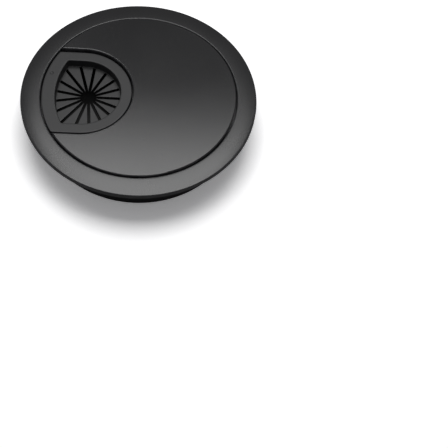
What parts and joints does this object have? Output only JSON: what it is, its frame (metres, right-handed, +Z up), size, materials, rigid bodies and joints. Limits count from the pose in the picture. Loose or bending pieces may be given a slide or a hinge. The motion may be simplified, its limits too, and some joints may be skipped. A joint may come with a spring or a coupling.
{
  "type": "desk grommet",
  "caption": "Round desk cable grommet: flanged sleeve for an 80 mm hole, turning lid with a U-shaped notch, and a sunken lift-out insert whose floor is a star of flexible fingers.",
  "frame": {"origin": "on the sleeve's axis, in the plane of the flange's underside, which is the desk's surface", "axes": "+Z up out of the desk, through the lid; at rest the lid's notch opens towards -X; +Y completes the right-handed frame"},
  "size_m": [0.092, 0.092, 0.0175],
  "materials": {
    "ring_plastic": "satin",
    "lid_plastic": "satin",
    "insert_plastic": "matte, flexible"
  },
  "bodies": {
    "base": {"base_ring": "ring_plastic"},
    "lid": {"lid": "lid_plastic"},
    "insert": {"insert_frame": "insert_plastic"},
    "finger_01_body": {"finger_01": "insert_plastic"},
    "finger_02_body": {"finger_02": "insert_plastic"},
    "finger_03_body": {"finger_03": "insert_plastic"},
    "finger_04_body": {"finger_04": "insert_plastic"},
    "finger_05_body": {"finger_05": "insert_plastic"},
    "finger_06_body": {"finger_06": "insert_plastic"},
    "finger_07_body": {"finger_07": "insert_plastic"},
    "finger_08_body": {"finger_08": "insert_plastic"},
    "finger_09_body": {"finger_09": "insert_plastic"},
    "finger_10_body": {"finger_10": "insert_plastic"},
    "finger_11_body": {"finger_11": "insert_plastic"},
    "finger_12_body": {"finger_12": "insert_plastic"},
    "finger_13_body": {"finger_13": "insert_plastic"},
    "finger_14_body": {"finger_14": "insert_plastic"},
    "finger_15_body": {"finger_15": "insert_plastic"},
    "finger_16_body": {"finger_16": "insert_plastic"},
    "finger_17_body": {"finger_17": "insert_plastic"}
  },
  "joints": [
    {"name": "lid_turn", "type": "hinge", "parent": "base", "child": "lid", "pos_m": [0, 0, 0], "axis": [0, 0, 1], "continuous": true},
    {"name": "insert_lift", "type": "slide", "parent": "lid", "child": "insert", "axis": [0, 0, 1], "range_m": [0, 0.02]},
    {"name": "finger_01_flex", "type": "hinge", "parent": "insert", "child": "finger_01_body", "pos_m": [-0.00828, 0.00221, -0.002], "axis": [0.155, -0.9879, 0], "range_deg": [-30, 60], "stiffness_Nm_per_rad": 0.004},
    {"name": "finger_02_flex", "type": "hinge", "parent": "insert", "child": "finger_02_body", "pos_m": [-0.00967, 0.00648, -0.002], "axis": [0.4535, -0.8912, 0], "range_deg": [-30, 60], "stiffness_Nm_per_rad": 0.004},
    {"name": "finger_03_flex", "type": "hinge", "parent": "insert", "child": "finger_03_body", "pos_m": [-0.01243, 0.01021, -0.002], "axis": [0.7153, -0.6988, 0], "range_deg": [-30, 60], "stiffness_Nm_per_rad": 0.004},
    {"name": "finger_04_flex", "type": "hinge", "parent": "insert", "child": "finger_04_body", "pos_m": [-0.01646, 0.01295, -0.002], "axis": [0.9088, -0.4172, 0], "range_deg": [-30, 60], "stiffness_Nm_per_rad": 0.004},
    {"name": "finger_05_flex", "type": "hinge", "parent": "insert", "child": "finger_05_body", "pos_m": [-0.02148, 0.01422, -0.002], "axis": [0.997, -0.078, 0], "range_deg": [-30, 60], "stiffness_Nm_per_rad": 0.004},
    {"name": "finger_06_flex", "type": "hinge", "parent": "insert", "child": "finger_06_body", "pos_m": [-0.02702, 0.01371, -0.002], "axis": [0.9578, 0.2874, 0], "range_deg": [-30, 60], "stiffness_Nm_per_rad": 0.004},
    {"name": "finger_07_flex", "type": "hinge", "parent": "insert", "child": "finger_07_body", "pos_m": [-0.03018, 0.01002, -0.002], "axis": [0.3152, 0.949, 0], "range_deg": [-30, 60], "stiffness_Nm_per_rad": 0.004},
    {"name": "finger_08_flex", "type": "hinge", "parent": "insert", "child": "finger_08_body", "pos_m": [-0.03148, 0.00474, -0.002], "axis": [0.149, 0.9888, 0], "range_deg": [-30, 60], "stiffness_Nm_per_rad": 0.004},
    {"name": "finger_09_flex", "type": "hinge", "parent": "insert", "child": "finger_09_body", "pos_m": [-0.03185, 0, -0.002], "axis": [0, 1, 0], "range_deg": [-30, 60], "stiffness_Nm_per_rad": 0.004},
    {"name": "finger_10_flex", "type": "hinge", "parent": "insert", "child": "finger_10_body", "pos_m": [-0.03148, -0.00474, -0.002], "axis": [-0.149, 0.9888, 0], "range_deg": [-30, 60], "stiffness_Nm_per_rad": 0.004},
    {"name": "finger_11_flex", "type": "hinge", "parent": "insert", "child": "finger_11_body", "pos_m": [-0.03018, -0.01002, -0.002], "axis": [-0.3152, 0.949, 0], "range_deg": [-30, 60], "stiffness_Nm_per_rad": 0.004},
    {"name": "finger_12_flex", "type": "hinge", "parent": "insert", "child": "finger_12_body", "pos_m": [-0.02702, -0.01371, -0.002], "axis": [-0.9578, 0.2874, 0], "range_deg": [-30, 60], "stiffness_Nm_per_rad": 0.004},
    {"name": "finger_13_flex", "type": "hinge", "parent": "insert", "child": "finger_13_body", "pos_m": [-0.02148, -0.01422, -0.002], "axis": [-0.997, -0.078, 0], "range_deg": [-30, 60], "stiffness_Nm_per_rad": 0.004},
    {"name": "finger_14_flex", "type": "hinge", "parent": "insert", "child": "finger_14_body", "pos_m": [-0.01646, -0.01295, -0.002], "axis": [-0.9088, -0.4172, 0], "range_deg": [-30, 60], "stiffness_Nm_per_rad": 0.004},
    {"name": "finger_15_flex", "type": "hinge", "parent": "insert", "child": "finger_15_body", "pos_m": [-0.01243, -0.01021, -0.002], "axis": [-0.7153, -0.6988, 0], "range_deg": [-30, 60], "stiffness_Nm_per_rad": 0.004},
    {"name": "finger_16_flex", "type": "hinge", "parent": "insert", "child": "finger_16_body", "pos_m": [-0.00967, -0.00648, -0.002], "axis": [-0.4535, -0.8912, 0], "range_deg": [-30, 60], "stiffness_Nm_per_rad": 0.004},
    {"name": "finger_17_flex", "type": "hinge", "parent": "insert", "child": "finger_17_body", "pos_m": [-0.00828, -0.00221, -0.002], "axis": [-0.155, -0.9879, 0], "range_deg": [-30, 60], "stiffness_Nm_per_rad": 0.004}
  ]
}
